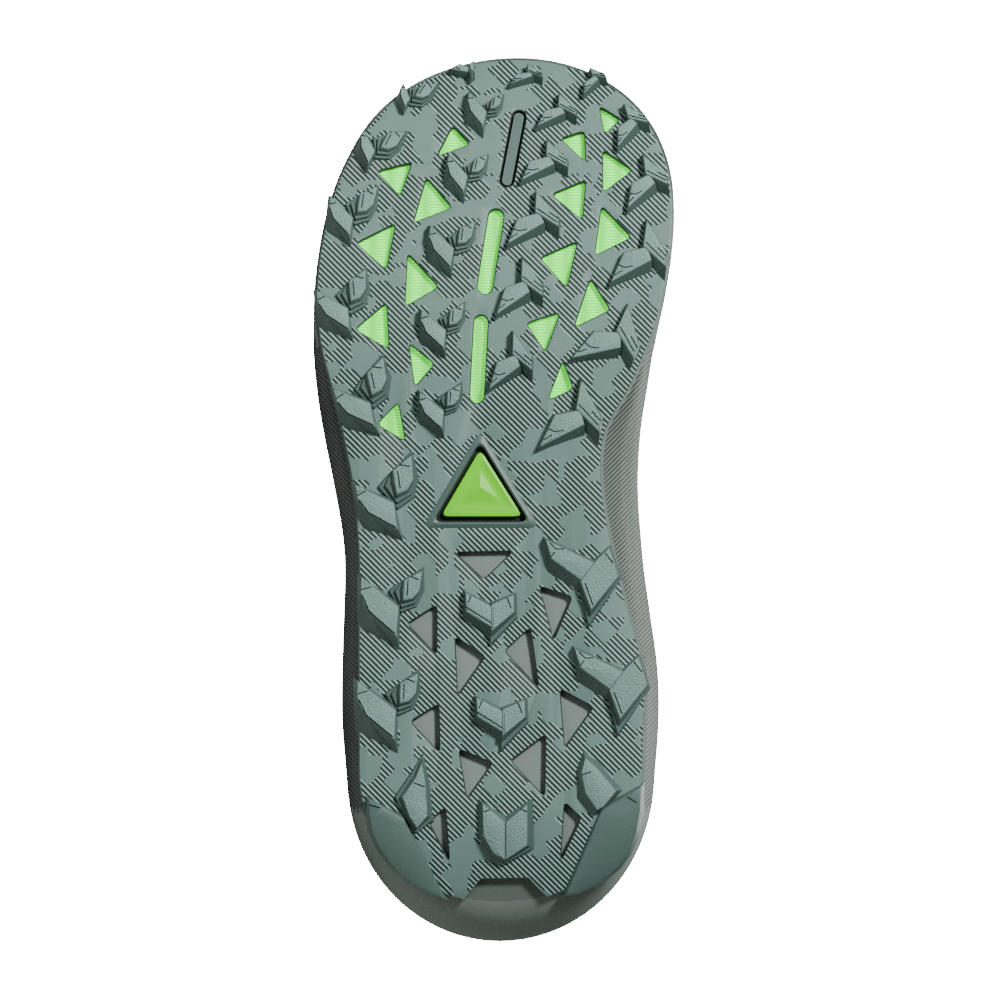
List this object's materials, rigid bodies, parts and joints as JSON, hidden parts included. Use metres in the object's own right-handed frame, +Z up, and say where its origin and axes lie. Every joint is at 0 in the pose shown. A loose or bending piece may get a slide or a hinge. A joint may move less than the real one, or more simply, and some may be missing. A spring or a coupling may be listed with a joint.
{
  "type": "trail running shoe",
  "caption": "Empty right trail running shoe with a lugged, windowed rubber sole on thick foam, lying on its lateral side.",
  "frame": {"origin": "centre of the bounding box's base, on the floor that the shoe lies on", "axes": "the shoe lies on its lateral side: toe towards -X, sole towards -Y, medial side up, +Z up"},
  "size_m": [0.3016, 0.1378, 0.1217],
  "materials": {
    "outsole": "matt, finely ribbed",
    "sole_badge": "satin",
    "forefoot_layer": "ribbed weave",
    "midsole": "moulded foam",
    "insole": "brushed",
    "upper": "knitted mesh with smooth overlays",
    "tongue": "padded mesh",
    "lace": "woven"
  },
  "bodies": {
    "root": {"outsole": "outsole", "sole_badge": "sole_badge", "forefoot_layer": "forefoot_layer", "midsole": "midsole", "insole": "insole", "upper": "upper", "tongue": "tongue", "lace": "lace"}
  },
  "joints": []
}
